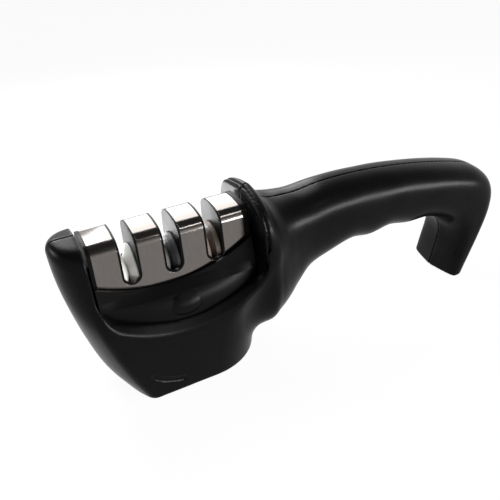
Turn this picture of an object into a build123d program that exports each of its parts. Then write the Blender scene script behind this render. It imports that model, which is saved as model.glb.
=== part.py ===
"""Three-stage pull through knife sharpener with a lift-out cartridge.

Frame: millimetres, +Z up, the table at zero height. The middle slot is at zero length,
+X runs towards the handle, and the parting plane of the two shells is at zero width.
"""

from build123d import *
import os
from math import sqrt

os.makedirs("parts", exist_ok=True)

# Walls, fits and overruns
wall = 2.4
seat_gap = 0.1
slide_gap = 0.4
running_gap = 0.05
cut_over = 4.0

# Cartridge length drives the nose, the ears, the head and the place of the handle
cartridge_half_length = 33.0
left_ear_gap = 1.2
right_ear_gap = 1.4

# Body: base and head, each station is height, nose tip and nose corner beyond the cartridge's left
# end, corner half width, corner radius, side end beyond its right end, side half width, rear end
head_stations = [
    (0.0, -5.0, -13.0, 25.6, 4.5, -26.0, 24.2, 0.0),
    (26.0, 6.5, -2.4, 25.0, 6.5, -19.0, 24.6, 3.0),
    (40.0, 9.7, 1.4, 23.4, 7.0, -6.6, 24.6, 7.0),
    (52.0, 11.8, 1.8, 18.0, 8.0, 3.0, 24.6, 9.5),
    (64.0, 12.8, 2.0, 15.0, 8.0, 3.0, 24.6, 7.8),
    (76.0, 12.8, 2.2, 14.6, 8.0, 3.0, 24.6, 6.2),
]

# Handle and foot: top point, bottom point and half width of each elliptical section, lengths
# measured from the cartridge's right end
handle_stations = [
    ((-5.0, 67.0), (-5.0, 8.0), 19.0),
    ((4.0, 67.0), (4.0, 9.4), 24.2),
    ((9.0, 66.0), (9.0, 12.6), 23.2),
    ((14.0, 64.8), (14.5, 16.4), 20.8),
    ((19.5, 64.0), (20.5, 22.0), 18.2),
    ((27.0, 63.8), (27.8, 28.6), 16.2),
    ((38.0, 65.1), (38.3, 32.4), 15.0),
    ((50.0, 65.4), (50.0, 35.6), 15.0),
    ((61.0, 64.9), (60.0, 34.6), 15.0),
    ((72.5, 63.9), (70.0, 36.6), 15.0),
    ((85.0, 62.2), (80.5, 34.8), 15.0),
    ((98.0, 59.8), (90.0, 35.2), 15.1),
    ((111.0, 56.8), (98.0, 33.0), 15.3),
    ((122.5, 53.0), (104.0, 29.6), 15.6),
]
foot_stations = [
    handle_stations[-1],
    ((129.8, 46.6), (107.2, 24.6), 15.9),
    ((130.0, 37.8), (107.9, 19.0), 16.0),
    ((125.6, 26.0), (107.0, 13.4), 16.0),
    ((120.2, 13.6), (105.2, 7.0), 15.9),
    ((116.2, 4.6), (103.8, 1.4), 15.7),
    ((113.0, -4.0), (101.9, -5.2), 15.5),
]

# Ear tops, as half width and height along the arch seen from the nose
left_ear_inner_x = -(cartridge_half_length + left_ear_gap)
right_ear_inner_x = cartridge_half_length + right_ear_gap
ear_clear_height = 80.0
left_ear_arch = [(0.0, 70.9), (8.8, 69.2), (12.6, 67.5), (16.0, 65.4), (20.0, 62.4), (30.0, 51.8)]
right_ear_arch = [(0.0, 73.6), (9.0, 71.9), (15.0, 70.0), (18.6, 67.6), (20.8, 64.4), (22.6, 60.0),
                  (24.6, 46.0), (30.0, 36.0)]

# Cradle: the gap line beside the cartridge and the outer rim of the bevel below it
cradle_low_z = 33.5
cradle_ends_z = 42.4
rim_low_z = 26.2
rim_ends_z = 39.6
bevel_inner_y = 21.3
bevel_outer_y = 26.4
cradle_corner_radius = 7.0

body_reach = 220.0

# Cartridge sides: height, half width at the middle slot and at the ends
belly_stations = [
    (22.0, 20.2, 16.2),
    (33.5, 20.9, 16.8),
    (38.5, 20.2, 16.6),
    (43.0, 17.4, 16.0),
]
shoulder_stations = [
    belly_stations[-1],
    (46.2, 12.9, 15.0),
    (52.0, 12.5, 13.6),
    (58.0, 12.5, 12.8),
]
arc_reach = cartridge_half_length + cut_over
floor_arc = [(-arc_reach, 39.0), (0.0, 25.0), (arc_reach, 39.0)]
seam_arc = [(-arc_reach, 54.0), (0.0, 42.8), (arc_reach, 52.4)]
frame_top_arc = [(-arc_reach, 54.6), (0.0, 45.9), (arc_reach, 59.5)]

# Steel cover and slots
slot_pitch = 17.5
slot_width = 8.0
slot_bottom = 49.0
slot_count = 3
cover_left_lip = 1.5
cover_right_lip = 2.2
cover_left_x = cover_left_lip - cartridge_half_length
cover_right_x = cartridge_half_length - cover_right_lip
cover_low_half_width = 12.0
cover_edge_half_width = 10.4
cover_edge_z = 64.4
cover_turn_half_width = 8.8
cover_turn_z = 66.8
cover_shoulder_half_width = 5.8
cover_shoulder_z = 68.2
cover_crown_z = 68.7
cover_low_z = 42.0
sheet = 0.6
core_low_z = 37.0
core_slot_width = 6.3
lip_rise = 0.3

# Sharpening wheels and axles
axle_z = 50.0
axle_radius = 1.5
axle_half_length = 5.4
wheel_outer_radius = 9.9
wheel_inner_radius = 4.9
wheel_thickness = 2.95
wheel_rim = 0.5
wheel_mid_gap = 0.06
chamber_gap = 0.4
chamber_radius = wheel_outer_radius + chamber_gap
fine_wheel_steps = 1
medium_wheel_steps = 4
coarse_wheel_steps = 2
step_share = 0.35

# Release buttons and their springs
button_z = 38.0
button_half_length = 6.1
button_half_height = 3.5
button_face_y = 21.2
button_flange = 0.8
button_wall = 1.5
button_chamber_y = 13.2
button_depth = 3.4
spring_radius = 1.6
spring_wire = 0.25
spring_turns = 4

# Screws
screw_radius = 1.3
screw_head_radius = 2.6
screw_head_height = 1.8
shell_boss_radius = 4.2
base_screw_places = [(-13.0, 12.0, 23.4), (12.0, 12.0, 21.6)]
handle_screw_places = [(43.0, 50.0, 14.2), (94.0, 47.8, 14.2)]
shell_screw_seat = 8.0
shell_screw_reach = 10.0
cartridge_screw_x = 8.75
cartridge_screw_y = 7.0
cartridge_screw_seat = 27.4
cartridge_screw_top = 43.0

# Rubber pads
pad_inset = 3.2
pad_thickness = 2.2
sole_lift = 0.6
foot_pad_back = 0.7
foot_pad_half_length = 3.2
foot_pad_half_width = 12.5
hollow_start = 6


def head_outline(height, inset):
    """Closed plan outline of the head at one height, drawn inside by the inset."""
    low, high = head_stations[0], head_stations[-1]
    for first, second in zip(head_stations, head_stations[1:]):
        if first[0] <= height <= second[0]:
            low, high = first, second
    share = (height - low[0]) / (high[0] - low[0])
    values = [a + (b - a) * share for a, b in zip(low, high)]
    _, tip_reach, corner_reach, corner_y, radius, side_reach, side_y, rear_reach = values
    tip_x = inset - cartridge_half_length - tip_reach
    corner_x = inset - cartridge_half_length - corner_reach
    side_x = cartridge_half_length + side_reach
    rear_x = cartridge_half_length + rear_reach - inset
    corner_y, side_y = corner_y - inset, side_y - inset
    with BuildSketch(Plane.XY.offset(height)) as outline:
        with BuildLine():
            ThreePointArc((corner_x, corner_y), (tip_x, 0), (corner_x, -corner_y))
            Line((corner_x, corner_y), (side_x, side_y))
            Line((corner_x, -corner_y), (side_x, -side_y))
            EllipticalCenterArc((side_x, 0), rear_x - side_x, side_y, start_angle=-90, arc_size=180)
        make_face()
        fillet(outline.vertices().group_by(Axis.X)[0], radius=radius)
    return outline.sketch


def cartridge_outline(height, middle_half_width, end_half_width, grow):
    """Closed plan outline of the cartridge, its sides bowed between the two ends."""
    half_length = cartridge_half_length + grow
    middle, end = middle_half_width + grow, end_half_width + grow
    with BuildSketch(Plane.XY.offset(height)) as outline:
        with BuildLine():
            ThreePointArc((-half_length, end), (0, middle), (half_length, end))
            Line((half_length, end), (half_length, -end))
            ThreePointArc((half_length, -end), (0, -middle), (-half_length, -end))
            Line((-half_length, -end), (-half_length, end))
        make_face()
    return outline.sketch


def station_plane(top, bottom):
    """Plane of one handle section: its x runs up the section, its y across the body."""
    middle_x = cartridge_half_length + (top[0] + bottom[0]) / 2
    middle = Vector(middle_x, 0, (top[1] + bottom[1]) / 2)
    up = Vector(top[0] - bottom[0], 0, top[1] - bottom[1]).normalized()
    return Plane(origin=middle, x_dir=up, z_dir=up.cross(Vector(0, 1, 0)))


def station_length(top, bottom):
    """Height of one handle section, from its bottom point to its top point."""
    return sqrt((top[0] - bottom[0]) ** 2 + (top[1] - bottom[1]) ** 2)


def limb(stations, inset):
    """Smooth solid through elliptical sections, drawn inside by the inset."""
    with BuildPart() as body:
        for top, bottom, half_width in stations:
            half_high = station_length(top, bottom) / 2 - inset
            half_wide = half_width - inset
            with BuildSketch(station_plane(top, bottom)):
                with BuildLine():
                    EllipticalCenterArc((0, 0), half_high, half_wide, start_angle=-90, arc_size=180)
                    EllipticalCenterArc((0, 0), half_high, half_wide, start_angle=90, arc_size=180)
                make_face()
        loft()
    return body.part


def walled_profile(plane, low_z, ends_z):
    """Upright profile above a sagging arc, open to the top between the two ears."""
    start, end = (left_ear_inner_x, ends_z), (right_ear_inner_x, ends_z)
    with BuildSketch(plane) as profile:
        with BuildLine():
            ThreePointArc(start, (0, low_z), end)
            Polyline(end, (end[0], ear_clear_height), (start[0], ear_clear_height), start)
        make_face()
        fillet(profile.vertices().sort_by(Axis.Y)[:2], radius=cradle_corner_radius)
    return profile.sketch


def above_arch(arch):
    """Profile across the body of the space above and outside an ear arch."""
    far = arch[-1][0]
    with BuildSketch(Plane.YZ) as profile:
        with BuildLine():
            Polyline(*arch, (far, ear_clear_height), (0, ear_clear_height), arch[0])
        make_face()
        mirror(about=Plane.YZ)
    return profile.sketch


def below_arc(arc, low_z):
    """Upright profile under a three point arc, down to the given height."""
    with BuildSketch(Plane.XZ) as profile:
        with BuildLine():
            ThreePointArc(*arc)
            Polyline(arc[-1], (arc[-1][0], low_z), (arc[0][0], low_z), arc[0])
        make_face()
    return profile.sketch


def cradle_room():
    """Space that the cartridge lifts out of, wider than it by the slide gap."""
    widest = belly_stations[1]
    with BuildPart() as room:
        add(cartridge_outline(0, widest[1], widest[2], slide_gap))
        extrude(amount=ear_clear_height)
        lowered = [(x, z - slide_gap) for x, z in floor_arc]
        extrude(below_arc(lowered, 0), amount=body_reach, both=True, mode=Mode.SUBTRACT)
    return room.part


def base_hollow():
    """Hollow between the underside of the base and the floor of the cradle."""
    with BuildPart() as hollow:
        add(head_outline(pad_thickness + wall, wall))
        add(head_outline(floor_arc[1][1] - slide_gap - wall, wall))
        loft()
    return hollow.part


def cartridge_solid():
    """Outer form of the cartridge: the rounded belly and the sloping shoulder over it."""
    with BuildPart() as solid:
        for height, middle, end in belly_stations:
            add(cartridge_outline(height, middle, end, 0))
        loft()
        shoulder = [cartridge_outline(*station, 0).face() for station in shoulder_stations]
        loft(sections=shoulder, ruled=True)
    return solid.part


def cover_section(x, grow, low_z):
    """Cross section of the steel cover's outer form, grown or shrunk all round."""
    lean = (cover_low_half_width - cover_edge_half_width) / (cover_edge_z - cover_low_z)
    edge = cover_edge_half_width + grow
    edge_z, crown_z = cover_edge_z + grow / 2, cover_crown_z + grow
    turn, turn_z = cover_turn_half_width + grow / 2, cover_turn_z + grow
    shoulder, shoulder_z = cover_shoulder_half_width, cover_shoulder_z + grow
    low = edge + lean * (edge_z - low_z)
    with BuildSketch(Plane.YZ.offset(x)) as section:
        with BuildLine():
            ThreePointArc((-edge, edge_z), (-turn, turn_z), (-shoulder, shoulder_z))
            ThreePointArc((-shoulder, shoulder_z), (0, crown_z), (shoulder, shoulder_z))
            ThreePointArc((shoulder, shoulder_z), (turn, turn_z), (edge, edge_z))
            Polyline((edge, edge_z), (low, low_z), (-low, low_z), (-edge, edge_z))
        make_face()
    return section.sketch


def slot_profile(width, bottom_z):
    """Upright profile of the three slots, each with a half round bottom."""
    with BuildSketch(Plane.XZ) as profile:
        for place in slot_places:
            with Locations((place, bottom_z + width / 2)):
                Circle(width / 2)
            with Locations((place, bottom_z + width / 2)):
                Rectangle(width, ear_clear_height, align=(Align.CENTER, Align.MIN))
    return profile.sketch


def barrel(x, z, radius, half_length):
    """Cylinder across the body, centred on the parting plane."""
    with BuildPart() as solid:
        with BuildSketch(Plane.XZ):
            with Locations((x, z)):
                Circle(radius)
        extrude(amount=half_length, both=True)
    return solid.part


def rod_along_x(x, radius, half_length):
    """Cylinder along the body on the wheel axis."""
    with BuildPart() as solid:
        with BuildSketch(Plane.YZ.offset(x)):
            with Locations((0, axle_z)):
                Circle(radius)
        extrude(amount=half_length, both=True)
    return solid.part


def side_plane(y):
    """Upright plane at one width, facing the front of the body."""
    return Plane.XZ.offset(-y)


def finish(builder, name):
    """Label one finished piece and write it to its file."""
    builder.part.label = name
    export_step(builder.part, f"parts/{name}.step")


slot_places = [slot_pitch * (index - (slot_count - 1) / 2) for index in range(slot_count)]
shell_screw_places = base_screw_places + [
    (cartridge_half_length + reach, z, half_length) for reach, z, half_length in handle_screw_places
]
foot_front, foot_rear = foot_stations[-2][1][0], foot_stations[-2][0][0]
foot_pad_x = cartridge_half_length + (foot_front + foot_rear) / 2 - foot_pad_back

# Body, before it is split into its two shells
with BuildPart() as body:
    for station in head_stations:
        add(head_outline(station[0], 0))
    loft()
    add(limb(handle_stations, 0))
    add(limb(foot_stations, 0))
    # Ear tops
    extrude(above_arch(left_ear_arch), amount=body_reach, dir=(-1, 0, 0), mode=Mode.SUBTRACT)
    extrude(above_arch(right_ear_arch), amount=body_reach, dir=(1, 0, 0), mode=Mode.SUBTRACT)
    # Cradle, its bevel and the pocket for the cartridge
    cradle = walled_profile(Plane.XZ, cradle_low_z, cradle_ends_z)
    extrude(cradle, amount=body_reach, both=True, mode=Mode.SUBTRACT)
    for side in (1, -1):
        inner = walled_profile(side_plane(side * bevel_inner_y), cradle_low_z, cradle_ends_z)
        outer = walled_profile(side_plane(side * bevel_outer_y), rim_low_z, rim_ends_z)
        loft(sections=[inner.face(), outer.face()], mode=Mode.SUBTRACT)
    add(cradle_room(), mode=Mode.SUBTRACT)
    # Hollow base, handle and foot
    add(base_hollow(), mode=Mode.SUBTRACT)
    add(limb(handle_stations[hollow_start:], wall), mode=Mode.SUBTRACT)
    add(limb(foot_stations[:-1], wall), mode=Mode.SUBTRACT)
    # Screw bosses across the hollows
    for x, z, half_length in shell_screw_places:
        add(barrel(x, z, shell_boss_radius, half_length))
        with BuildSketch(side_plane(shell_screw_seat)):
            with Locations((x, z)):
                Circle(screw_head_radius + seat_gap)
        extrude(amount=body_reach, dir=(0, 1, 0), mode=Mode.SUBTRACT)
        with BuildSketch(side_plane(shell_screw_seat)):
            with Locations((x, z)):
                Circle(screw_radius + seat_gap)
        extrude(amount=shell_screw_seat + shell_screw_reach, dir=(0, -1, 0), mode=Mode.SUBTRACT)
    # Flat underside, with a recess for each rubber pad
    with BuildSketch(Plane.XY.offset(sole_lift)):
        Rectangle(2 * body_reach, body_reach)
    extrude(amount=-ear_clear_height, mode=Mode.SUBTRACT)
    add(head_outline(sole_lift, pad_inset - seat_gap))
    extrude(amount=pad_thickness - sole_lift, mode=Mode.SUBTRACT)
    with BuildSketch(Plane.XY.offset(sole_lift)):
        with Locations((foot_pad_x, 0)):
            Ellipse(foot_pad_half_length + seat_gap, foot_pad_half_width + seat_gap)
    extrude(amount=pad_thickness - sole_lift, mode=Mode.SUBTRACT)

# Two shells that meet in the parting plane
with BuildPart() as front_shell:
    add(body.part)
    with BuildSketch(Plane.XZ):
        Rectangle(2 * body_reach, 2 * body_reach)
    extrude(amount=body_reach, dir=(0, 1, 0), mode=Mode.SUBTRACT)
finish(front_shell, "front_shell")

with BuildPart() as rear_shell:
    add(body.part)
    with BuildSketch(Plane.XZ):
        Rectangle(2 * body_reach, 2 * body_reach)
    extrude(amount=body_reach, dir=(0, -1, 0), mode=Mode.SUBTRACT)
finish(rear_shell, "rear_shell")

# Four screws from the rear shell into the front shell
with BuildPart() as shell_screws:
    for x, z, half_length in shell_screw_places:
        with BuildSketch(side_plane(shell_screw_seat)):
            with Locations((x, z)):
                Circle(screw_head_radius)
        extrude(amount=screw_head_height, dir=(0, 1, 0))
        with BuildSketch(side_plane(shell_screw_seat)):
            with Locations((x, z)):
                Circle(screw_radius)
        extrude(amount=shell_screw_seat + shell_screw_reach - cut_over / 2, dir=(0, -1, 0))
finish(shell_screws, "shell_screws")

# Rubber sole and foot pad
with BuildPart() as base_pad:
    add(head_outline(0, pad_inset))
    extrude(amount=pad_thickness)
finish(base_pad, "base_pad")

with BuildPart() as foot_pad:
    with BuildSketch(Plane.XY):
        with Locations((foot_pad_x, 0)):
            Ellipse(foot_pad_half_length, foot_pad_half_width)
    extrude(amount=pad_thickness)
finish(foot_pad, "foot_pad")

# Lower half of the cartridge, with the well for the core and the two button chambers
button_wall_y = button_face_y - button_depth
with BuildPart() as cartridge_bottom:
    add(cartridge_solid())
    extrude(below_arc(seam_arc, 0), amount=body_reach, both=True, mode=Mode.INTERSECT)
    extrude(below_arc(floor_arc, 0), amount=body_reach, both=True, mode=Mode.SUBTRACT)
    with BuildSketch(Plane.XY.offset(core_low_z)):
        with Locations(((cover_left_x + cover_right_x) / 2, 0)):
            Rectangle(cover_right_x - cover_left_x + seat_gap, 2 * (cover_low_half_width + seat_gap))
    extrude(amount=ear_clear_height, mode=Mode.SUBTRACT)
    for side in (1, -1):
        with BuildSketch(side_plane(side * button_chamber_y)):
            with Locations((0, button_z)):
                Ellipse(button_half_length + button_wall, button_half_height + button_wall)
        extrude(amount=button_wall_y + button_flange - button_chamber_y, dir=(0, side, 0), mode=Mode.SUBTRACT)
        with BuildSketch(side_plane(side * button_chamber_y)):
            with Locations((0, button_z)):
                Ellipse(button_half_length + seat_gap, button_half_height + seat_gap)
        extrude(amount=button_face_y, dir=(0, side, 0), mode=Mode.SUBTRACT)
    for x in (-cartridge_screw_x, cartridge_screw_x):
        for y in (-cartridge_screw_y, cartridge_screw_y):
            with BuildSketch(Plane.XY.offset(cartridge_screw_seat)):
                with Locations((x, y)):
                    Circle(screw_head_radius + seat_gap)
            extrude(amount=-cartridge_screw_seat, mode=Mode.SUBTRACT)
            with BuildSketch(Plane.XY.offset(cartridge_screw_seat)):
                with Locations((x, y)):
                    Circle(screw_radius + seat_gap)
            extrude(amount=ear_clear_height, mode=Mode.SUBTRACT)
finish(cartridge_bottom, "cartridge_bottom")

# Frame round the cover, with a lip at each end
with BuildPart() as cartridge_frame:
    add(cartridge_solid())
    extrude(below_arc(frame_top_arc, 0), amount=body_reach, both=True, mode=Mode.INTERSECT)
    for x, end_x in ((cover_left_x, -cartridge_half_length), (cover_right_x, cartridge_half_length)):
        lip = cover_section(x, lip_rise, cover_low_z - cut_over)
        extrude(lip, amount=abs(end_x - x), dir=(end_x - x, 0, 0))
    extrude(below_arc(seam_arc, 0), amount=body_reach, both=True, mode=Mode.SUBTRACT)
    with BuildSketch(Plane.YZ.offset(cover_left_x - seat_gap)):
        Rectangle(2 * (cover_low_half_width + seat_gap), 2 * ear_clear_height)
    extrude(amount=cover_right_x - cover_left_x + 2 * seat_gap, dir=(1, 0, 0), mode=Mode.SUBTRACT)
finish(cartridge_frame, "cartridge_frame")

# Steel cover, bent from sheet
with BuildPart() as steel_cover:
    extrude(cover_section(cover_left_x, 0, cover_low_z), amount=cover_right_x - cover_left_x, dir=(1, 0, 0))
    hollow = cover_section(cover_left_x - cut_over, -sheet, 0)
    extrude(hollow, amount=body_reach, dir=(1, 0, 0), mode=Mode.SUBTRACT)
    extrude(slot_profile(slot_width, slot_bottom), amount=body_reach, both=True, mode=Mode.SUBTRACT)
finish(steel_cover, "steel_cover")

# Core with the three slots, their lips and the wheel chambers
with BuildPart() as slot_lips:
    extrude(cover_section(cover_left_x, 0, cover_low_z), amount=cover_right_x - cover_left_x, dir=(1, 0, 0))
    lips = slot_profile(slot_width - 2 * seat_gap, slot_bottom + seat_gap)
    extrude(lips, amount=body_reach, both=True, mode=Mode.INTERSECT)

with BuildPart() as slot_core:
    core_left_x = cover_left_x + seat_gap
    core = cover_section(core_left_x, -sheet - seat_gap, core_low_z)
    extrude(core, amount=cover_right_x - seat_gap - core_left_x, dir=(1, 0, 0))
    add(slot_lips.part)
    core_slot_bottom = slot_bottom + (slot_width - core_slot_width) / 2
    extrude(slot_profile(core_slot_width, core_slot_bottom), amount=body_reach, both=True, mode=Mode.SUBTRACT)
    for place in slot_places:
        add(rod_along_x(place, chamber_radius, core_slot_width / 2), mode=Mode.SUBTRACT)
        add(rod_along_x(place, axle_radius + seat_gap, axle_half_length + seat_gap), mode=Mode.SUBTRACT)
    for x in (-cartridge_screw_x, cartridge_screw_x):
        for y in (-cartridge_screw_y, cartridge_screw_y):
            with BuildSketch(Plane.XY.offset(core_low_z)):
                with Locations((x, y)):
                    Circle(screw_radius + seat_gap)
            extrude(amount=cartridge_screw_top + seat_gap - core_low_z, mode=Mode.SUBTRACT)
finish(slot_core, "slot_core")

# Screws up through the floor of the cartridge into the core
with BuildPart() as cartridge_screws:
    for x in (-cartridge_screw_x, cartridge_screw_x):
        for y in (-cartridge_screw_y, cartridge_screw_y):
            with BuildSketch(Plane.XY.offset(cartridge_screw_seat)):
                with Locations((x, y)):
                    Circle(screw_head_radius)
            extrude(amount=-screw_head_height / 2)
            with BuildSketch(Plane.XY.offset(cartridge_screw_seat)):
                with Locations((x, y)):
                    Circle(screw_radius)
            extrude(amount=cartridge_screw_top - cartridge_screw_seat)
finish(cartridge_screws, "cartridge_screws")


def wheel(place, side, steps):
    """Cone shaped sharpening wheel on one side of a slot, in as many steps as its grit has."""
    origin = (place, 0, axle_z)
    with BuildPart() as solid:
        with BuildSketch(Plane(origin=origin, x_dir=(side, 0, 0), z_dir=(0, -side, 0))):
            bore = axle_radius + running_gap
            run = (wheel_thickness - wheel_rim - wheel_mid_gap) / steps
            rise = (wheel_outer_radius - wheel_inner_radius) / steps
            points = [(wheel_mid_gap, bore), (wheel_mid_gap, wheel_inner_radius)]
            for step in range(steps):
                x = wheel_mid_gap + run * (step + 1)
                r = wheel_inner_radius + rise * (step + 1)
                if step > 0:
                    points.append((x - run, r - rise * step_share))
                points.append((x, r))
            points += [(wheel_thickness, wheel_outer_radius), (wheel_thickness, bore)]
            with BuildLine():
                Polyline(*points, close=True)
            make_face()
        revolve(axis=Axis(origin, (1, 0, 0)))
    return solid


# Three axles, each with its pair of wheels
grits = [("fine", fine_wheel_steps), ("medium", medium_wheel_steps), ("coarse", coarse_wheel_steps)]
for place, (grit, steps) in zip(slot_places, grits):
    with BuildPart() as axle:
        add(rod_along_x(place, axle_radius, axle_half_length))
    finish(axle, f"{grit}_axle")
    for side, side_name in ((-1, "left"), (1, "right")):
        finish(wheel(place, side, steps), f"{grit}_{side_name}_wheel")

# Release buttons with their springs
for side, name in ((-1, "front"), (1, "rear")):
    with BuildPart() as button:
        with BuildSketch(side_plane(side * button_face_y)):
            with Locations((0, button_z)):
                Ellipse(button_half_length, button_half_height)
        extrude(amount=button_depth, dir=(0, -side, 0))
        with BuildSketch(side_plane(side * button_wall_y)):
            with Locations((0, button_z)):
                Ellipse(button_half_length + button_flange, button_half_height + button_flange)
        extrude(amount=button_flange - seat_gap, dir=(0, side, 0))
    finish(button, f"{name}_release_button")

    spring_start = button_wall_y - spring_wire - seat_gap
    spring_length = spring_start - button_chamber_y - spring_wire - seat_gap
    with BuildPart() as spring:
        with BuildLine() as coil:
            Helix(
                pitch=spring_length / spring_turns,
                height=spring_length,
                radius=spring_radius,
                center=(0, side * spring_start, button_z),
                direction=(0, -side, 0),
            )
        with BuildSketch(Plane(origin=coil.line @ 0, z_dir=coil.line % 0)):
            Circle(spring_wire)
        sweep(path=coil.line, is_frenet=True)
    finish(spring, f"{name}_button_spring")
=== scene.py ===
"""Looks of the pull through knife sharpener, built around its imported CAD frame.

Lengths in this file are millimetres unless a name says otherwise, in the frame's axes:
+X runs from the nose to the foot, +Z is up and the parting plane of the shells is y = 0.
"""

import math

import bpy
import numpy as np
import openvdb
from mathutils import Euler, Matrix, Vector


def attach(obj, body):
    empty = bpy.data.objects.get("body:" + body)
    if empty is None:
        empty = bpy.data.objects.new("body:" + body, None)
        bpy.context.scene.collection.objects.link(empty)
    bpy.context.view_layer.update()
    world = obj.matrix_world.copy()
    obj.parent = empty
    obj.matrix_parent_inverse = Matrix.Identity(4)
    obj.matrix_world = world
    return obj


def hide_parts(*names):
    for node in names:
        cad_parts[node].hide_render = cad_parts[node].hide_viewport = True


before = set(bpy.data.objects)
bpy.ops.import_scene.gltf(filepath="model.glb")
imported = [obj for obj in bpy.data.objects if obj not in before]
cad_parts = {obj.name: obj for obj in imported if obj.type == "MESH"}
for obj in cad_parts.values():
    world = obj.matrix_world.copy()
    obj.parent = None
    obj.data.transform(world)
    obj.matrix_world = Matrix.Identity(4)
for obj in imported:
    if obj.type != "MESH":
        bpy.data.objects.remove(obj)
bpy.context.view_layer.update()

MM = 0.001

# Camera, fitted to the photograph
CAMERA_AZIMUTH = 23.2
CAMERA_ELEVATION = 31.9
CAMERA_ROLL = -4.0
CAMERA_DISTANCE = 293.1
CAMERA_TARGET = (37.3, 0.0, 41.1)
CAMERA_LENS = 48.46
CAMERA_SENSOR_WIDTH = 36.0
CAMERA_CLIP_START = 10.0

# Body: height, nose tip, nose corner x, nose corner half width, corner radius,
# side end x, side end half width, rear end x
HEAD_STATIONS = [
    (0.0, -28.0, -20.0, 25.3, 4.5, 7.0, 24.2, 33.0),
    (12.0, -34.9, -25.4, 25.2, 5.5, 10.2, 24.4, 34.4),
    (26.0, -39.4, -30.6, 25.0, 6.5, 14.0, 24.6, 36.0),
    (40.0, -42.7, -34.4, 23.4, 7.0, 26.4, 24.6, 40.0),
    (52.0, -44.8, -34.8, 18.0, 8.0, 36.0, 24.6, 42.5),
    (64.0, -45.8, -35.0, 15.0, 8.0, 36.0, 24.6, 40.8),
    (76.0, -45.8, -35.2, 14.6, 8.0, 36.0, 24.6, 39.2),
]
# Handle and foot: top point, bottom point, half width, squareness above and below, and how far
# the lower face stands out to its crest
LIMB_STATIONS = [
    ((28.0, 66.0), (28.0, 8.0), 19.0, 3.0, 2.6, 0.0),
    ((37.0, 66.0), (37.0, 9.4), 24.4, 3.0, 2.6, 0.0),
    ((42.0, 65.4), (42.0, 12.6), 23.4, 3.0, 2.6, 0.0),
    ((47.0, 64.4), (47.5, 16.4), 21.0, 2.9, 2.6, 0.0),
    ((52.5, 63.9), (53.5, 22.0), 18.4, 2.8, 2.5, 0.0),
    ((60.0, 63.8), (60.8, 28.6), 16.2, 2.7, 2.4, 0.0),
    ((71.0, 65.1), (71.3, 32.4), 15.2, 2.6, 2.4, 0.0),
    ((83.0, 65.4), (83.0, 35.6), 15.0, 2.5, 2.3, 0.0),
    ((94.0, 64.9), (93.0, 34.6), 15.0, 2.5, 2.3, 0.0),
    ((105.5, 63.9), (103.0, 36.6), 15.0, 2.5, 2.3, 0.0),
    ((118.0, 62.2), (113.5, 34.8), 15.0, 2.5, 2.3, 0.0),
    ((131.0, 59.8), (123.0, 35.2), 15.1, 2.5, 2.4, 0.0),
    ((144.0, 56.8), (131.0, 33.0), 15.3, 2.5, 2.6, 0.4),
    ((155.5, 53.0), (137.0, 29.6), 15.6, 2.5, 3.2, 1.4),
    ((162.6, 46.6), (140.2, 24.6), 15.9, 2.5, 4.2, 2.6),
    ((162.8, 37.8), (140.9, 19.0), 16.0, 2.5, 5.0, 3.4),
    ((158.6, 26.0), (140.0, 13.4), 16.0, 2.5, 5.0, 3.6),
    ((153.2, 13.6), (138.2, 7.0), 15.9, 2.5, 5.0, 3.4),
    ((149.2, 4.6), (136.8, 1.4), 15.7, 2.5, 5.0, 3.0),
    ((146.0, -4.0), (134.9, -5.2), 15.5, 2.5, 5.0, 2.6),
]
LEFT_EAR_ARCH = [(0.0, 70.9), (8.8, 69.2), (12.6, 67.5), (16.0, 65.4), (20.0, 62.4), (30.0, 51.8)]
RIGHT_EAR_ARCH = [(0.0, 73.6), (9.0, 71.9), (15.0, 70.0), (18.6, 67.6), (20.8, 64.4), (22.6, 60.0),
                  (24.6, 46.0), (30.0, 36.0)]
RIGHT_EAR_CHAMFER_DEPTH = 2.6
RIGHT_EAR_CHAMFER_END_X = 36.2
RIGHT_EAR_CHAMFER_HALF_WIDTH = 17.0
RIGHT_EAR_CHAMFER_RUN_IN = 2.0
RIGHT_EAR_CHAMFER_REACH = 24.0
EAR_LEFT_X = -34.2
EAR_RIGHT_X = 34.4
CLEAR_HEIGHT = 84.0
CRADLE_LOW = 33.5
CRADLE_ENDS = 42.4
RIM_LOW = 26.2
RIM_ENDS = 39.6
CRADLE_CORNER_RADIUS = 7.0
BEVEL_INNER_Y = 21.3
BEVEL_OUTER_Y = 26.4
ROOM_HALF_LENGTH = 33.4
ROOM_MIDDLE = 21.3
ROOM_END = 17.2
ROOM_FLOOR_MIDDLE = 24.6
ROOM_FLOOR_ENDS = 38.6
SOLE_HEIGHT = 0.6
SCREW_PLACES = [(-13.0, 12.0), (12.0, 12.0), (76.0, 50.0), (127.0, 47.8)]
SCREW_WELL_RADIUS = 2.7
SCREW_WELL_Y = 8.0
ARCH_REACH = 60.0
CRADLE_REACH = 32.0
# Rounding of edges and joins
LEFT_EAR_ROUND = 5.0
RIGHT_EAR_ROUND = 3.0
NECK_FILLET = 7.0
CHAMFER_ROUND = 0.6
CRADLE_ROUND = 0.9
ROOM_ROUND = 0.6
SOLE_ROUND = 1.2
SMALL_ROUND = 0.4
PARTING_ROUND = 0.25
# Small curved groove low on the head
GROOVE_RADIUS = 0.9
GROOVE_DEPTH = 0.6
CRESCENT = [(-18.9, 12.3), (-17.6, 10.9), (-15.1, 9.1), (-10.8, 7.3), (-6.7, 6.1)]

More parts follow.
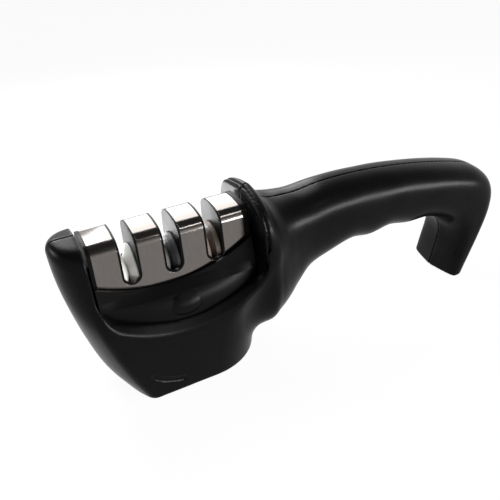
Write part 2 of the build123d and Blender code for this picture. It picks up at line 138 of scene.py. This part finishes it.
# Release buttons: rings from the rim of the hidden stem to the crown of the dome
BUTTON_Z = 38.0
BUTTON_HALF_LENGTH = 6.4
BUTTON_BELOW = 3.5
BUTTON_ABOVE = 4.9
BUTTON_SQUARENESS = 2.6
BUTTON_STEPS = 48
BUTTON_RINGS = [
    (1.0, -1.2),
    (1.0, -0.1),
    (0.97, 0.08),
    (0.9, 0.25),
    (0.75, 0.5),
    (0.5, 0.72),
    (0.25, 0.84),
    (0.04, 0.87),
]
# Height and half width of the cartridge's bowed side at the middle slot
BELLY_MIDDLE = [
    (30.0, 20.7),
    (33.5, 20.85),
    (36.0, 20.7),
    (38.5, 20.1),
    (40.0, 19.4),
    (42.0, 18.1),
    (43.0, 17.4),
]
BELLY_BOW = 3.8

# Surface grain: used range of the noise, texture scales per metre, spreads of roughness,
# strengths and depths
NOISE_LOW = 0.25
NOISE_HIGH = 0.75
PLASTIC_SPECULAR = 0.06
TINT_SCALE = 60
SMUDGE_SCALE = 90
SMUDGE_SPREAD = 0.03
GRAIN_SCALE = 4200
GRAIN_DEPTH = 0.04
STEEL_EDGE_RADIUS = 0.15
BRUSH_TINT_SCALE = 400
BRUSH_TINT_SHARE = 0.86
BRUSH_SMUDGE_SCALE = 1500
BRUSH_SMUDGE_SPREAD = 0.02
BRUSH_SCALE = 2500
BRUSH_STRENGTH = 0.05
BRUSH_DEPTH = 0.01
GRIT_SPREAD = 0.08
GRIT_STRENGTH = 0.6
GRIT_DEPTH = 0.15

# Floor and world: a pale floor that turns white for the camera, under a darker ceiling
FLOOR_HALF_SIZE = 3000.0
FLOOR_COLOR = (0.86, 0.86, 0.86)
FLOOR_OTHER_COLOR = (0.84, 0.84, 0.84)
FLOOR_TINT_SCALE = 3
FLOOR_ROUGHNESS = 0.8
FLOOR_SPECULAR = 0.1
FLOOR_GLOW_SHARE = 0.94
WORLD_LIGHT = 0.6
CEILING_START = 0.3
CEILING_END = 0.78
CEILING_COLOR = 0.08

# Studio lights: name, place, point aimed at, size and power
SOFTBOXES = [
    ("front_softbox", (382, -412, 200), (60, 0, 50), (430, 90), 5.0),
    ("top_strip", (150, -240, 418), (0, 0, 66), (110, 24), 0.14),
    ("back_panel", (98, 284, 250), (0, 0, 68), (190, 300), 1.1),
    ("ear_softbox", (-70, 300, 310), (0, 0, 72), (160, 200), 2.2),
    ("nose_softbox", (-420, 150, 230), (0, 0, 60), (160, 160), 1.0),
    ("ear_card", (0, 95, 14), (34, 8, 67), (60, 40), 0.05),
]

# Least turn of a nose corner in radians, and points along the curves and outlines of the shells
LEAST_TURN = 0.02
SPAN_STEPS = 8
HEAD_SPAN_STEPS = 6
NOSE_STEPS = 20
CORNER_STEPS = 12
SIDE_STEPS = 16
REAR_STEPS = 24
RING_STEPS = 96
PROFILE_STEPS = 90
ROOM_STEPS = 40
CHAMFER_STEPS = 97

# Field that the shells are shaped in
VOXEL = 0.5
BAND = 12.0
FIELD_LOW = (-50.0, -2.0, -4.0)
FIELD_HIGH = (168.0, 30.0, 80.0)


def curve_through(points, per_span):
    """Smooth curve through rows of numbers, as Catmull-Rom spans."""
    rows = np.array(points, float)
    rows = np.vstack([2 * rows[0] - rows[1], rows, 2 * rows[-1] - rows[-2]])
    out = []
    for index in range(1, len(rows) - 2):
        before, start, end, after = rows[index - 1:index + 3]
        for t in np.arange(per_span) / per_span:
            out.append(0.5 * (2 * start + (end - before) * t
                              + (2 * before - 5 * start + 4 * end - after) * t ** 2
                              + (3 * start - before - 3 * end + after) * t ** 3))
    out.append(rows[-2])
    return np.array(out)


def loft(rings):
    """Closed mesh through rings of equal point counts: points and triangles."""
    rings = np.array(rings, float)
    ring_count, size = rings.shape[:2]
    points = rings.reshape(-1, 3)
    ends = [rings[0].mean(0), rings[-1].mean(0)]
    points = np.vstack([points, ends])
    triangles = []
    for ring in range(ring_count - 1):
        for step in range(size):
            a, b = ring * size + step, ring * size + (step + 1) % size
            triangles += [(a, b, b + size), (a, b + size, a + size)]
    first, last = len(points) - 2, len(points) - 1
    base = (ring_count - 1) * size
    for step in range(size):
        after = (step + 1) % size
        triangles += [(first, after, step), (last, base + step, base + after)]
    return points, np.array(triangles)


def field_of(rings):
    """Signed distance to a lofted form over the half of the body with y above zero."""
    points, triangles = loft(rings)
    transform = openvdb.createLinearTransform(voxelSize=VOXEL)
    grid = openvdb.FloatGrid.createLevelSetFromPolygons(
        points, triangles=triangles, transform=transform, halfWidth=BAND / VOXEL)
    low = [int(round(value / VOXEL)) for value in FIELD_LOW]
    high = [int(round(value / VOXEL)) for value in FIELD_HIGH]
    values = np.zeros([b - a for a, b in zip(low, high)], np.float32)
    grid.copyToArray(values, ijk=tuple(low))
    return values


def axis_values(axis):
    """Coordinates of the field's cells along one axis, shaped to combine with a field."""
    low, high = int(round(FIELD_LOW[axis] / VOXEL)), int(round(FIELD_HIGH[axis] / VOXEL))
    shape = [1, 1, 1]
    shape[axis] = high - low
    return (np.arange(low, high, dtype=np.float32) * VOXEL).reshape(shape)


def join(first, second, radius):
    """Union of two fields with a fillet of about the given radius."""
    near = np.maximum(radius - np.abs(first - second), 0) / radius
    return np.minimum(first, second) - near ** 2 * radius / 4


def cut(first, second, radius):
    """First field without the second, with its new edges rounded."""
    return -join(-first, second, radius)


def head_ring(station):
    """Plan outline of the head at one station: a round nose, soft corners and a round rear."""
    height, tip_x, corner_x, corner_y, radius, side_x, side_y, rear_x = station
    corner, side = np.array((corner_x, corner_y)), np.array((side_x, side_y))
    depth = corner_x - tip_x
    nose_radius = (depth ** 2 + corner_y ** 2) / (2 * depth)
    nose_centre = tip_x + nose_radius
    end_angle = math.atan2(corner_y, nose_centre - corner_x)
    run = (side - corner) / np.linalg.norm(side - corner)
    turn = math.pi / 2 - end_angle - math.atan2(run[1], run[0])
    reach = radius * math.tan(max(turn, LEAST_TURN) / 2)
    angle = np.linspace(0, end_angle - reach / nose_radius, NOSE_STEPS)
    nose = np.stack([nose_centre - nose_radius * np.cos(angle), nose_radius * np.sin(angle)], 1)
    leave = corner + run * reach
    t = np.linspace(0, 1, CORNER_STEPS)[1:, None]
    bend = (1 - t) ** 2 * nose[-1] + 2 * t * (1 - t) * corner + t ** 2 * leave
    straight = leave + (side - leave) * np.linspace(0, 1, SIDE_STEPS)[1:, None]
    angle = np.linspace(0, math.pi / 2, REAR_STEPS)[1:]
    rear = np.stack([side_x + (rear_x - side_x) * np.sin(angle), side_y * np.cos(angle)], 1)
    half = np.vstack([nose, bend, straight, rear])
    outline = np.vstack([half, half[-2:0:-1] * (1, -1)])
    return np.column_stack([outline, np.full(len(outline), height)])


def limb_rings():
    """Rounded rings through the stations of the handle and the foot."""
    rows = [(*top, *bottom, *rest) for top, bottom, *rest in LIMB_STATIONS]
    angle = np.linspace(0, 2 * math.pi, RING_STEPS, endpoint=False)
    rings = []
    for row in curve_through(rows, SPAN_STEPS):
        top_x, top_z, bottom_x, bottom_z, half_width, above, below, crest = row
        up = np.array((top_x - bottom_x, 0, top_z - bottom_z))
        half_high = np.linalg.norm(up) / 2
        up /= 2 * half_high
        middle = np.array((top_x + bottom_x, 0, top_z + bottom_z)) / 2
        power = 2 / np.where(np.cos(angle) > 0, above, below)
        high = np.sign(np.cos(angle)) * np.abs(np.cos(angle)) ** power
        wide = np.sign(np.sin(angle)) * np.abs(np.sin(angle)) ** power
        rise = high * half_high + np.where(high < 0, crest * np.abs(wide) * -high, 0)
        rings.append(middle + np.outer(rise, up) + np.outer(wide, (0, half_width, 0)))
    return rings


def sagging_profile(y, low, ends):
    """Open-topped outline between the ears at one width, over a sagging line."""
    middle, half_length = (EAR_LEFT_X + EAR_RIGHT_X) / 2, (EAR_RIGHT_X - EAR_LEFT_X) / 2
    x = middle - half_length * np.cos(np.linspace(0, math.pi, PROFILE_STEPS))
    share = (x - x.mean()) / (x[-1] - x.mean())
    past = np.maximum(CRADLE_CORNER_RADIUS - np.minimum(x - EAR_LEFT_X, EAR_RIGHT_X - x), 0)
    corner = CRADLE_CORNER_RADIUS - np.sqrt(CRADLE_CORNER_RADIUS ** 2 - past ** 2)
    bottom = np.stack([x, np.full_like(x, y), low + (ends - low) * share ** 2 + corner], 1)
    top = bottom[::-1].copy()
    top[:, 2] = CLEAR_HEIGHT
    return np.vstack([bottom, top])


def cradle_rings():
    """Space between the ears, with the steep bevel outside the cartridge."""
    slope = (RIM_LOW - CRADLE_LOW) / (BEVEL_OUTER_Y - BEVEL_INNER_Y)
    slope_ends = (RIM_ENDS - CRADLE_ENDS) / (BEVEL_OUTER_Y - BEVEL_INNER_Y)
    rings = []
    for y in (-CRADLE_REACH, -BEVEL_INNER_Y, BEVEL_INNER_Y, CRADLE_REACH):
        past = abs(y) - BEVEL_INNER_Y
        rings.append(sagging_profile(y, CRADLE_LOW + slope * past, CRADLE_ENDS + slope_ends * past))
    return rings


def room_rings():
    """Pocket that holds the cartridge, bowed along its sides."""
    rings = []
    for x in np.linspace(-ROOM_HALF_LENGTH, ROOM_HALF_LENGTH, ROOM_STEPS):
        share = (x / ROOM_HALF_LENGTH) ** 2
        y = ROOM_MIDDLE + (ROOM_END - ROOM_MIDDLE) * share
        z = ROOM_FLOOR_MIDDLE + (ROOM_FLOOR_ENDS - ROOM_FLOOR_MIDDLE) * share
        rings.append([(x, -y, z), (x, y, z), (x, y, CLEAR_HEIGHT), (x, -y, CLEAR_HEIGHT)])
    return rings


def arch_rings(arch, start_x, end_x):
    """Space above and outside an ear's arch, between two places along the body."""
    half = curve_through(arch, SPAN_STEPS)
    far = half[-1, 0]
    line = [(y, z) for y, z in half] + [(far, CLEAR_HEIGHT)]
    outline = line + [(-y, z) for y, z in line[:0:-1]]
    return [[(x, y, z) for y, z in outline] for x in (start_x, end_x)]


def chamfer_rings():
    """Space above the sloping front edge of the right ear, deepest over the parting plane."""
    reach = RIGHT_EAR_CHAMFER_REACH
    y = np.linspace(-reach, reach, CHAMFER_STEPS)
    curve = curve_through([(-a, b) for a, b in RIGHT_EAR_ARCH[:0:-1]] + RIGHT_EAR_ARCH, SPAN_STEPS)
    arch = np.interp(y, curve[:, 0], curve[:, 1])
    fade = np.sqrt(np.clip(1 - np.abs(y) / RIGHT_EAR_CHAMFER_HALF_WIDTH, 0, 1))
    start_x = EAR_RIGHT_X - RIGHT_EAR_CHAMFER_RUN_IN
    rings = []
    for x, lift in ((start_x, 2 * RIGHT_EAR_CHAMFER_DEPTH), (RIGHT_EAR_CHAMFER_END_X, 0.0)):
        line = [(x, across, top - lift * share) for across, top, share in zip(y, arch, fade)]
        rings.append(line + [(x, reach, CLEAR_HEIGHT), (x, -reach, CLEAR_HEIGHT)])
    return rings


def distance_to_path(path):
    """Distance from every cell to a path in the lengthwise plane, looking across the body."""
    x, z = axis_values(0), axis_values(2)
    return np.min([np.sqrt((x - point_x) ** 2 + (z - point_z) ** 2) for point_x, point_z in path], axis=0)


def body_field():
    """Half of the moulded body, still solid through the parting plane."""
    body = field_of([head_ring(row) for row in curve_through(HEAD_STATIONS, HEAD_SPAN_STEPS)])
    body = cut(body, field_of(arch_rings(LEFT_EAR_ARCH, -ARCH_REACH, 0.0)), LEFT_EAR_ROUND)
    body = cut(body, field_of(arch_rings(RIGHT_EAR_ARCH, 0.0, ARCH_REACH)), RIGHT_EAR_ROUND)
    body = join(body, field_of(limb_rings()), NECK_FILLET)
    body = cut(body, field_of(chamfer_rings()), CHAMFER_ROUND)
    body = cut(body, field_of(cradle_rings()), CRADLE_ROUND)
    body = cut(body, field_of(room_rings()), ROOM_ROUND)
    line = distance_to_path(curve_through(CRESCENT, SPAN_STEPS))
    body = cut(body, np.maximum(line - GROOVE_RADIUS, -body - GROOVE_DEPTH), SMALL_ROUND)
    return cut(body, axis_values(2) - SOLE_HEIGHT + 0 * body, SOLE_ROUND)


def with_screw_wells(field):
    """The same field with the deep wells that the shell screws sit in."""
    for place in SCREW_PLACES:
        well = np.maximum(distance_to_path([place]) - SCREW_WELL_RADIUS, SCREW_WELL_Y - axis_values(1))
        field = cut(field, well, SMALL_ROUND)
    return field


def new_object(name, points, faces):
    """Smooth shaded object from points in millimetres."""
    mesh = bpy.data.meshes.new(name)
    mesh.from_pydata((np.asarray(points) * MM).tolist(), [], [list(face) for face in faces])
    mesh.validate()
    mesh.shade_smooth()
    piece = bpy.data.objects.new(name, mesh)
    bpy.context.scene.collection.objects.link(piece)
    return piece


def shell_from(field, name, side):
    """One shell as a mesh, cut from the field at the parting plane."""
    half = cut(field, axis_values(1) + 0 * field, PARTING_ROUND)
    grid = openvdb.FloatGrid(BAND)
    grid.transform = openvdb.createLinearTransform(voxelSize=VOXEL)
    grid.copyFromArray(half, ijk=tuple(int(round(value / VOXEL)) for value in FIELD_LOW))
    points, quads = grid.convertToQuads(isovalue=0.0)
    points = points * (1, side, 1)
    if side < 0:
        quads = quads[:, ::-1]
    return new_object(name, points, quads)


body = body_field()
front = shell_from(body, "front_body_half", -1)
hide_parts("front_shell")
rear = shell_from(with_screw_wells(body), "rear_body_half", 1)
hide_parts("rear_shell")
for piece in (front, rear):
    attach(piece, "body")


def button_form(name, side):
    """Release button as a low oval dome that follows the bowed side of the cartridge."""
    heights, halves = np.array(BELLY_MIDDLE).T
    points, faces = [], []
    for share, depth in BUTTON_RINGS:
        for turn in np.linspace(0, 2 * math.pi, BUTTON_STEPS, endpoint=False):
            across, up = math.cos(turn), math.sin(turn)
            power = 2 / (BUTTON_SQUARENESS if up > 0 else 2)
            x = BUTTON_HALF_LENGTH * share * math.copysign(abs(across) ** power, across)
            half_height = BUTTON_ABOVE if up > 0 else BUTTON_BELOW
            z = BUTTON_Z + half_height * share * math.copysign(abs(up) ** power, up)
            y = np.interp(z, heights, halves) - BELLY_BOW * (x / ROOM_HALF_LENGTH) ** 2 + depth
            points.append((x, side * y, z))
    for ring in range(len(BUTTON_RINGS) - 1):
        for step in range(BUTTON_STEPS):
            a, b = ring * BUTTON_STEPS + step, ring * BUTTON_STEPS + (step + 1) % BUTTON_STEPS
            face = [a, b, b + BUTTON_STEPS, a + BUTTON_STEPS]
            faces.append(face if side > 0 else face[::-1])
    faces.append(list(range(BUTTON_STEPS))[::-side])
    last = len(points) - BUTTON_STEPS
    faces.append(list(range(last, len(points)))[::side])
    return new_object(name, points, faces)


front_button = button_form("front_button_dome", -1)
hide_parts("front_release_button")
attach(front_button, "front_button")
rear_button = button_form("rear_button_dome", 1)
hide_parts("rear_release_button")
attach(rear_button, "rear_button")


class Material:
    """Small helper that builds one procedural material."""

    def __init__(self, name, color, roughness, metallic=0.0, specular=0.5):
        self.material = bpy.data.materials.new(name)
        self.material.use_nodes = True
        self.nodes = self.material.node_tree.nodes
        self.links = self.material.node_tree.links
        self.shader = self.nodes["Principled BSDF"]
        self.shader.inputs["Metallic"].default_value = metallic
        self.shader.inputs["Specular IOR Level"].default_value = specular
        self.shader.inputs["Base Color"].default_value = (*color, 1)
        self.shader.inputs["Roughness"].default_value = roughness
        self.color = color
        self.roughness = roughness

    def noise(self, scale, stretch=(1, 1, 1), detail=3.0):
        """Noise over the object's own coordinates, at a scale per metre."""
        place = self.nodes.new("ShaderNodeTexCoord")
        mapping = self.nodes.new("ShaderNodeMapping")
        mapping.inputs["Scale"].default_value = stretch
        texture = self.nodes.new("ShaderNodeTexNoise")
        texture.inputs["Scale"].default_value = scale
        texture.inputs["Detail"].default_value = detail
        self.links.new(place.outputs["Object"], mapping.inputs["Vector"])
        self.links.new(mapping.outputs["Vector"], texture.inputs["Vector"])
        return texture.outputs["Fac"]

    def spread(self, source, low, high):
        """Map noise to a range of values."""
        ramp = self.nodes.new("ShaderNodeMapRange")
        ramp.inputs["From Min"].default_value = NOISE_LOW
        ramp.inputs["From Max"].default_value = NOISE_HIGH
        ramp.inputs["To Min"].default_value = low
        ramp.inputs["To Max"].default_value = high
        self.links.new(source, ramp.inputs["Value"])
        return ramp.outputs["Result"]

    def vary_roughness(self, source, amount):
        """Let the roughness wander round its value."""
        value = self.spread(source, self.roughness - amount, self.roughness + amount)
        self.links.new(value, self.shader.inputs["Roughness"])

    def vary_color(self, source, other):
        """Let the colour wander to another one."""
        mix = self.nodes.new("ShaderNodeMix")
        mix.data_type = "RGBA"
        mix.inputs["A"].default_value = (*self.color, 1)
        mix.inputs["B"].default_value = (*other, 1)
        self.links.new(self.spread(source, 0, 1), mix.inputs["Factor"])
        self.links.new(mix.outputs["Result"], self.shader.inputs["Base Color"])

    def soften(self, radius):
        """Round the look of sharp edges by a small radius."""
        node = self.nodes.new("ShaderNodeBevel")
        node.inputs["Radius"].default_value = radius * MM
        self.links.new(node.outputs["Normal"], self.shader.inputs["Normal"])

    def bump(self, source, strength, distance):
        """Raise the surface by the noise."""
        node = self.nodes.new("ShaderNodeBump")
        node.inputs["Strength"].default_value = strength
        node.inputs["Distance"].default_value = distance * MM
        if self.shader.inputs["Normal"].is_linked:
            self.links.new(self.shader.inputs["Normal"].links[0].from_socket, node.inputs["Normal"])
        self.links.new(source, node.inputs["Height"])
        self.links.new(node.outputs["Normal"], self.shader.inputs["Normal"])


def plastic(name, color, lighter, roughness, grain):
    """Moulded plastic with a fine grain and faint smudges."""
    look = Material(name, color, roughness, specular=PLASTIC_SPECULAR)
    look.vary_color(look.noise(TINT_SCALE), lighter)
    look.vary_roughness(look.noise(SMUDGE_SCALE), SMUDGE_SPREAD)
    look.bump(look.noise(GRAIN_SCALE), grain, GRAIN_DEPTH)
    return look.material


def steel(name, color, roughness, brush):
    """Steel with fine brush lines and softened edges."""
    look = Material(name, color, roughness, metallic=1.0)
    look.soften(STEEL_EDGE_RADIUS)
    darker = tuple(value * BRUSH_TINT_SHARE for value in color)
    look.vary_color(look.noise(BRUSH_TINT_SCALE, brush), darker)
    look.vary_roughness(look.noise(BRUSH_SMUDGE_SCALE, brush), BRUSH_SMUDGE_SPREAD)
    look.bump(look.noise(BRUSH_SCALE, brush), BRUSH_STRENGTH, BRUSH_DEPTH)
    return look.material


def grit(name, color, other, roughness, size):
    """Abrasive surface of bonded grains."""
    look = Material(name, color, roughness)
    look.vary_color(look.noise(size), other)
    look.vary_roughness(look.noise(size / 2), GRIT_SPREAD)
    look.bump(look.noise(size), GRIT_STRENGTH, GRIT_DEPTH)
    return look.material


SATIN_BLACK = plastic("satin_black", (0.002, 0.002, 0.0023), (0.0028, 0.0028, 0.0031), 0.28, 0.12)
CARTRIDGE_BLACK = plastic("cartridge_black", (0.0022, 0.0022, 0.0024), (0.003, 0.0028, 0.0028), 0.36, 0.06)
GLOSSY_BLACK = plastic("glossy_black", (0.0018, 0.0018, 0.002), (0.0026, 0.0026, 0.0028), 0.36, 0.05)
# Cover steel: its base colour is far darker than bare steel, so that its reflections of the white floor
# and world come out dark grey; this darkness is painted shade in the metal's colour.
SHADE_DARKENED_COVER_STEEL = steel("cover_steel", (0.16, 0.146, 0.137), 0.16, (6, 6, 0.3))
AXLE_STEEL = steel("axle_steel", (0.6, 0.6, 0.6), 0.25, (30, 1, 1))
SCREW_STEEL = steel("screw_steel", (0.45, 0.45, 0.46), 0.3, (1, 1, 1))
SPRING_STEEL = steel("spring_steel", (0.5, 0.5, 0.5), 0.3, (1, 20, 1))
WHITE_CERAMIC = grit("white_ceramic", (0.75, 0.74, 0.71), (0.66, 0.65, 0.62), 0.45, 3000)
DARK_GRIT = grit("dark_grit", (0.05, 0.05, 0.055), (0.1, 0.1, 0.1), 0.4, 4500)
COARSE_GRIT = grit("coarse_grit", (0.12, 0.1, 0.09), (0.2, 0.15, 0.12), 0.35, 3500)
RUBBER = plastic("rubber_sole", (0.02, 0.02, 0.02), (0.03, 0.03, 0.03), 0.75, 0.5)

NODE_LOOKS = {
    "cartridge_bottom": GLOSSY_BLACK,
    "cartridge_frame": CARTRIDGE_BLACK,
    "slot_core": GLOSSY_BLACK,
    "steel_cover": SHADE_DARKENED_COVER_STEEL,
    "cartridge_screws": SCREW_STEEL,
    "shell_screws": SCREW_STEEL,
    "fine_axle": AXLE_STEEL,
    "medium_axle": AXLE_STEEL,
    "coarse_axle": AXLE_STEEL,
    "front_button_spring": SPRING_STEEL,
    "rear_button_spring": SPRING_STEEL,
    "fine_left_wheel": WHITE_CERAMIC,
    "fine_right_wheel": WHITE_CERAMIC,
    "medium_left_wheel": DARK_GRIT,
    "medium_right_wheel": DARK_GRIT,
    "coarse_left_wheel": COARSE_GRIT,
    "coarse_right_wheel": COARSE_GRIT,
    "front_release_button": GLOSSY_BLACK,
    "rear_release_button": GLOSSY_BLACK,
    "base_pad": RUBBER,
    "foot_pad": RUBBER,
    "front_shell": SATIN_BLACK,
    "rear_shell": SATIN_BLACK,
}
for node, look in NODE_LOOKS.items():
    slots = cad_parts[node].material_slots
    for index in range(len(slots)):
        slots[index].material = look
for piece in (front, rear):
    piece.data.materials.append(SATIN_BLACK)
for piece in (front_button, rear_button):
    piece.data.materials.append(GLOSSY_BLACK)


def direct_view(nodes, links, path):
    """One for rays from the camera, off gloss or through glass, and nothing for the rest."""
    total = path.outputs["Is Camera Ray"]
    for kind in ("Is Glossy Ray", "Is Transmission Ray"):
        either = nodes.new("ShaderNodeMath")
        either.operation = "MAXIMUM"
        links.new(total, either.inputs[0])
        links.new(path.outputs[kind], either.inputs[1])
        total = either.outputs[0]
    return total


def add_floor():
    """Pale floor that keeps the shadow and turns white for the camera."""
    reach = FLOOR_HALF_SIZE
    corners = [(-reach, -reach, 0), (reach, -reach, 0), (reach, reach, 0), (-reach, reach, 0)]
    floor = new_object("studio_floor", corners, [(0, 1, 2, 3)])
    look = Material("floor_white", FLOOR_COLOR, FLOOR_ROUGHNESS, specular=FLOOR_SPECULAR)
    look.vary_color(look.noise(FLOOR_TINT_SCALE), FLOOR_OTHER_COLOR)
    nodes, links = look.nodes, look.links
    path = nodes.new("ShaderNodeLightPath")
    seen = nodes.new("ShaderNodeMath")
    seen.operation = "MULTIPLY"
    seen.inputs[1].default_value = FLOOR_GLOW_SHARE
    glow = nodes.new("ShaderNodeEmission")
    glow.inputs["Strength"].default_value = 1.0
    mix = nodes.new("ShaderNodeMixShader")
    out = nodes["Material Output"]
    links.new(direct_view(nodes, links, path), seen.inputs[0])
    links.new(seen.outputs[0], mix.inputs["Fac"])
    links.new(look.shader.outputs[0], mix.inputs[1])
    links.new(glow.outputs[0], mix.inputs[2])
    links.new(mix.outputs[0], out.inputs["Surface"])
    floor.data.materials.append(look.material)


def add_world():
    """White for the camera and low in gloss, darker overhead, and plain grey light otherwise."""
    world = bpy.data.worlds.new("studio")
    bpy.context.scene.world = world
    world.use_nodes = True
    nodes, links = world.node_tree.nodes, world.node_tree.links
    background = nodes["Background"]
    path = nodes.new("ShaderNodeLightPath")
    strength = nodes.new("ShaderNodeMapRange")
    strength.inputs["To Min"].default_value = WORLD_LIGHT
    strength.inputs["To Max"].default_value = 1.0
    links.new(direct_view(nodes, links, path), strength.inputs["Value"])
    links.new(strength.outputs["Result"], background.inputs["Strength"])
    place = nodes.new("ShaderNodeTexCoord")
    parts = nodes.new("ShaderNodeSeparateXYZ")
    ceiling = nodes.new("ShaderNodeMapRange")
    ceiling.interpolation_type = "SMOOTHSTEP"
    ceiling.inputs["From Min"].default_value = CEILING_START
    ceiling.inputs["From Max"].default_value = CEILING_END
    ceiling.inputs["To Min"].default_value = 1.0
    ceiling.inputs["To Max"].default_value = CEILING_COLOR
    links.new(place.outputs["Generated"], parts.inputs["Vector"])
    links.new(parts.outputs["Z"], ceiling.inputs["Value"])
    links.new(ceiling.outputs["Result"], background.inputs["Color"])


def add_softbox(name, place, aim, size, power):
    """Rectangular studio light aimed at a point."""
    light = bpy.data.lights.new(name, "AREA")
    light.shape = "RECTANGLE"
    light.size, light.size_y = size[0] * MM, size[1] * MM
    light.energy = power
    lamp = bpy.data.objects.new(name, light)
    lamp.location = Vector(place) * MM
    lamp.visible_camera = False
    lamp.rotation_euler = (Vector(aim) - Vector(place)).to_track_quat("-Z", "Y").to_euler()
    bpy.context.scene.collection.objects.link(lamp)


def add_camera():
    """Camera at the photograph's viewing angle."""
    azimuth, elevation = math.radians(CAMERA_AZIMUTH), math.radians(CAMERA_ELEVATION)
    back = Vector((-math.sin(azimuth) * math.cos(elevation),
                   -math.cos(azimuth) * math.cos(elevation),
                   math.sin(elevation)))
    data = bpy.data.cameras.new("photo_camera")
    data.lens = CAMERA_LENS
    data.sensor_width = CAMERA_SENSOR_WIDTH
    data.clip_start = CAMERA_CLIP_START * MM
    camera = bpy.data.objects.new("photo_camera", data)
    camera.location = (Vector(CAMERA_TARGET) + back * CAMERA_DISTANCE) * MM
    turn = (-back).to_track_quat("-Z", "Y").to_matrix()
    roll = Euler((0, 0, math.radians(CAMERA_ROLL))).to_matrix()
    camera.rotation_euler = (turn @ roll).to_euler()
    bpy.context.scene.collection.objects.link(camera)
    bpy.context.scene.camera = camera


add_floor()
add_world()
for softbox in SOFTBOXES:
    add_softbox(*softbox)
add_camera()
bpy.context.scene.view_settings.view_transform = "Standard"
